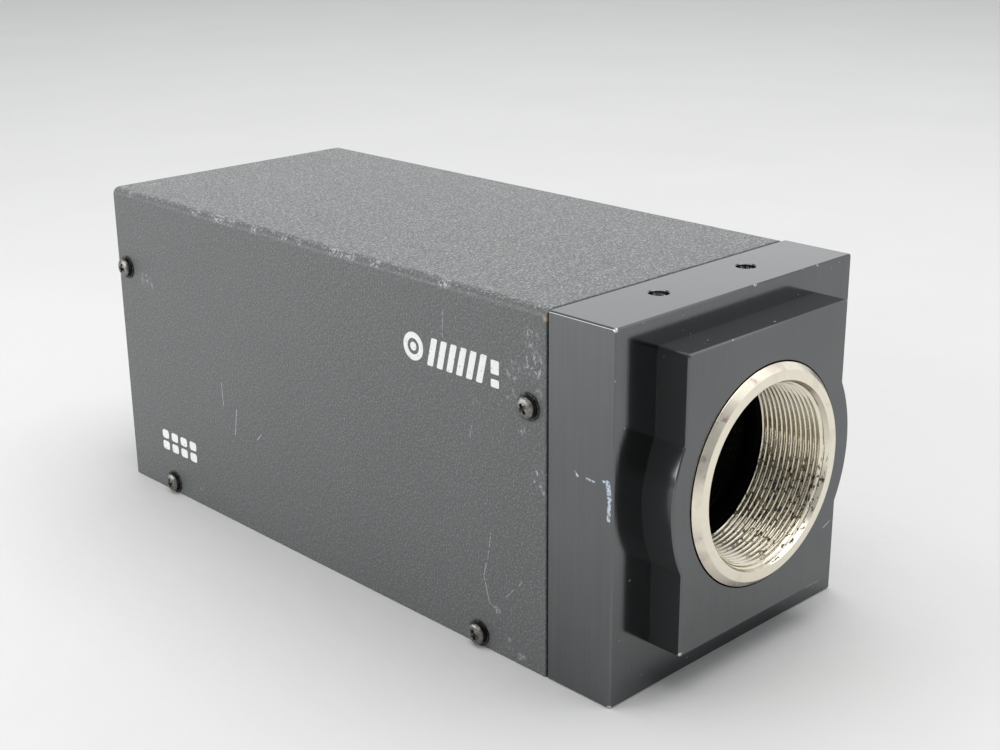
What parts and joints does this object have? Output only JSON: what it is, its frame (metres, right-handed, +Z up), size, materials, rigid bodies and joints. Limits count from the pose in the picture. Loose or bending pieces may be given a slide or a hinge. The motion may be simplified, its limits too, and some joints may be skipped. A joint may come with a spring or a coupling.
{
  "type": "astronomy camera",
  "caption": "Rectangular cooled camera head with a threaded lens mount, folded sheet cover, side screws, rear connectors, a gain knob and a toggle switch.",
  "frame": {"origin": "centre of the bounding box's lower face, on the surface the camera stands on", "axes": "+Z up, the lens mount looks along -Y, the connectors are at +Y, +X is on the right seen from in front"},
  "size_m": [0.0506, 0.13, 0.0508],
  "materials": {
    "black_anodised": "satin black anodised, finely machined",
    "textured_paint": "dark grey textured paint",
    "nickel_plate": "turned and nickel plated",
    "blackened_steel": "blackened, worn bright on the edges",
    "bright_steel": "turned",
    "bare_aluminium": "milled",
    "copper": "machined copper",
    "brass": "turned",
    "rubber": "matt",
    "lead_insulation": "silicone insulation",
    "black_plastic": "moulded",
    "knob_plastic": "moulded, fluted",
    "white_plastic": "turned fluoropolymer",
    "ceramic": "matt",
    "window_glass": "polished",
    "fibre_glass": "fused fibres, ground",
    "circuit_board": "solder mask over laminate",
    "ribbon_cable": "flat cable",
    "red_lens": "tinted clear"
  },
  "bodies": {
    "housing": {"base_plate": "black_anodised", "base_screw_1": "blackened_steel", "base_screw_2": "blackened_steel", "base_screw_3": "blackened_steel", "base_screw_4": "blackened_steel", "board_spacer_1": "brass", "board_spacer_2": "brass", "board_spacer_3": "brass", "board_spacer_4": "brass", "ccd_sensor": "ceramic", "cold_block": "copper", "cover": "textured_paint", "fibre_taper": "fibre_glass", "front_plate": "black_anodised", "gain_control": "blackened_steel", "heat_spreader": "bare_aluminium", "high_voltage_lead": "lead_insulation", "high_voltage_supply": "black_plastic", "input_window": "window_glass", "intensifier_tube": "black_plastic", "lens_ring": "nickel_plate", "mode_switch": "bright_steel", "power_board": "circuit_board", "power_socket": "nickel_plate", "power_socket_insert": "black_plastic", "rear_panel": "black_anodised", "ring_set_screw": "blackened_steel", "sensor_board": "circuit_board", "sensor_ribbon": "ribbon_cable", "side_screw_left_front_lower": "blackened_steel", "side_screw_left_front_upper": "blackened_steel", "side_screw_left_rear_lower": "blackened_steel", "side_screw_left_rear_upper": "blackened_steel", "side_screw_right_front_lower": "blackened_steel", "side_screw_right_front_upper": "blackened_steel", "side_screw_right_rear_lower": "blackened_steel", "side_screw_right_rear_upper": "blackened_steel", "side_washer_left_front_lower": "blackened_steel", "side_washer_left_front_upper": "blackened_steel", "side_washer_left_rear_lower": "blackened_steel", "side_washer_left_rear_upper": "blackened_steel", "side_washer_right_front_lower": "blackened_steel", "side_washer_right_front_upper": "blackened_steel", "side_washer_right_rear_lower": "blackened_steel", "side_washer_right_rear_upper": "blackened_steel", "stack_post_1": "brass", "stack_post_2": "brass", "stack_post_3": "brass", "stack_post_4": "brass", "status_led": "red_lens", "thermoelectric_cooler": "ceramic", "tube_retainer": "bare_aluminium", "tube_seal": "rubber", "video_board": "circuit_board", "video_jack": "nickel_plate", "video_jack_insert": "white_plastic"},
    "gain_knob": {"gain_knob": "knob_plastic", "gain_shaft": "bright_steel"},
    "mode_lever": {"mode_lever": "bright_steel"}
  },
  "joints": [
    {"name": "gain_turn", "type": "hinge", "parent": "housing", "child": "gain_knob", "pos_m": [-0.0105, 0.052, 0.016], "axis": [0, 1, 0], "range_deg": [-135, 135]},
    {"name": "mode_tilt", "type": "hinge", "parent": "housing", "child": "mode_lever", "pos_m": [0.0065, 0.0538, 0.016], "axis": [1, 0, 0], "range_deg": [0, 25]}
  ]
}
